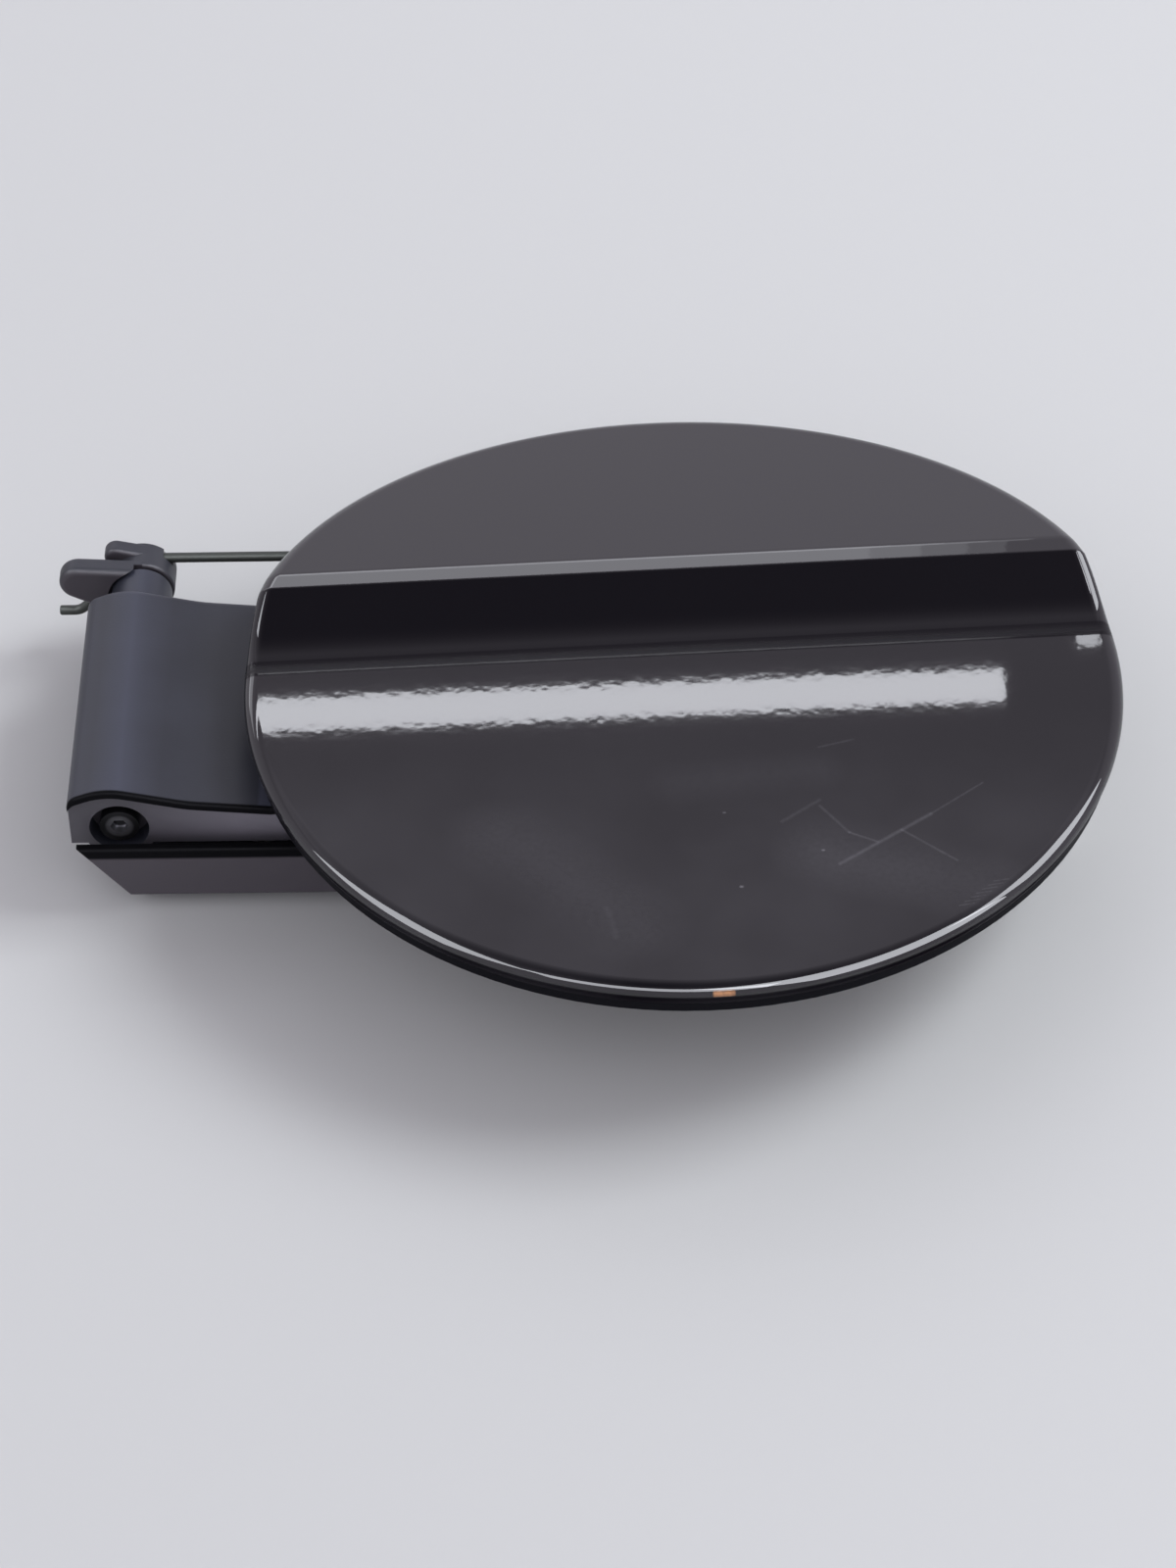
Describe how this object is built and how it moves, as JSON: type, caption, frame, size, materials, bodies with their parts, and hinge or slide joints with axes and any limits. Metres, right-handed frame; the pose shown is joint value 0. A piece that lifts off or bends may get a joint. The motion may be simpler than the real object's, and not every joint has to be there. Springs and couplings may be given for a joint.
{
  "type": "fuel filler flap",
  "caption": "Round painted fuel filler flap with a body crease on a plastic gooseneck hinge arm, with hinge base, pin, closing spring, rubber buffers and latch striker.",
  "frame": {"origin": "middle of the base's two screw holes, on the face that meets the car body", "axes": "+X from the hinge to the flap, +Y along the hinge pin away from the viewer of the picture, +Z out of the car body"},
  "size_m": [0.2053, 0.165, 0.038],
  "materials": {
    "body_paint": "near black paint under clear coat",
    "panel_paint": "near black paint, less glossy",
    "arm_plastic": "moulded dark bluish grey",
    "base_plastic": "moulded dark bluish grey",
    "fixing_steel": "plated steel",
    "striker_steel": "pressed steel",
    "spring_steel": "drawn wire, olive grey",
    "pin_steel": "dark steel",
    "buffer_rubber": "soft black rubber"
  },
  "bodies": {
    "base": {"base_bracket": "base_plastic", "mount_sleeves": "fixing_steel", "hinge_pin": "pin_steel", "pin_clip": "fixing_steel", "torsion_spring": "spring_steel"},
    "flap": {"outer_skin": "body_paint", "inner_panel": "panel_paint", "hinge_arm": "arm_plastic", "arm_screws": "fixing_steel", "panel_nuts": "fixing_steel", "latch_striker": "striker_steel", "striker_rivets": "fixing_steel", "near_buffer": "buffer_rubber", "far_buffer": "buffer_rubber", "spring_keeper": "base_plastic"}
  },
  "joints": [
    {"name": "flap_hinge", "type": "hinge", "parent": "base", "child": "flap", "pos_m": [-0.026, 0, 0.0159], "axis": [0, -1, 0], "range_deg": [0, 90], "stiffness_Nm_per_rad": 0.6, "deforming": ["torsion_spring"]}
  ]
}
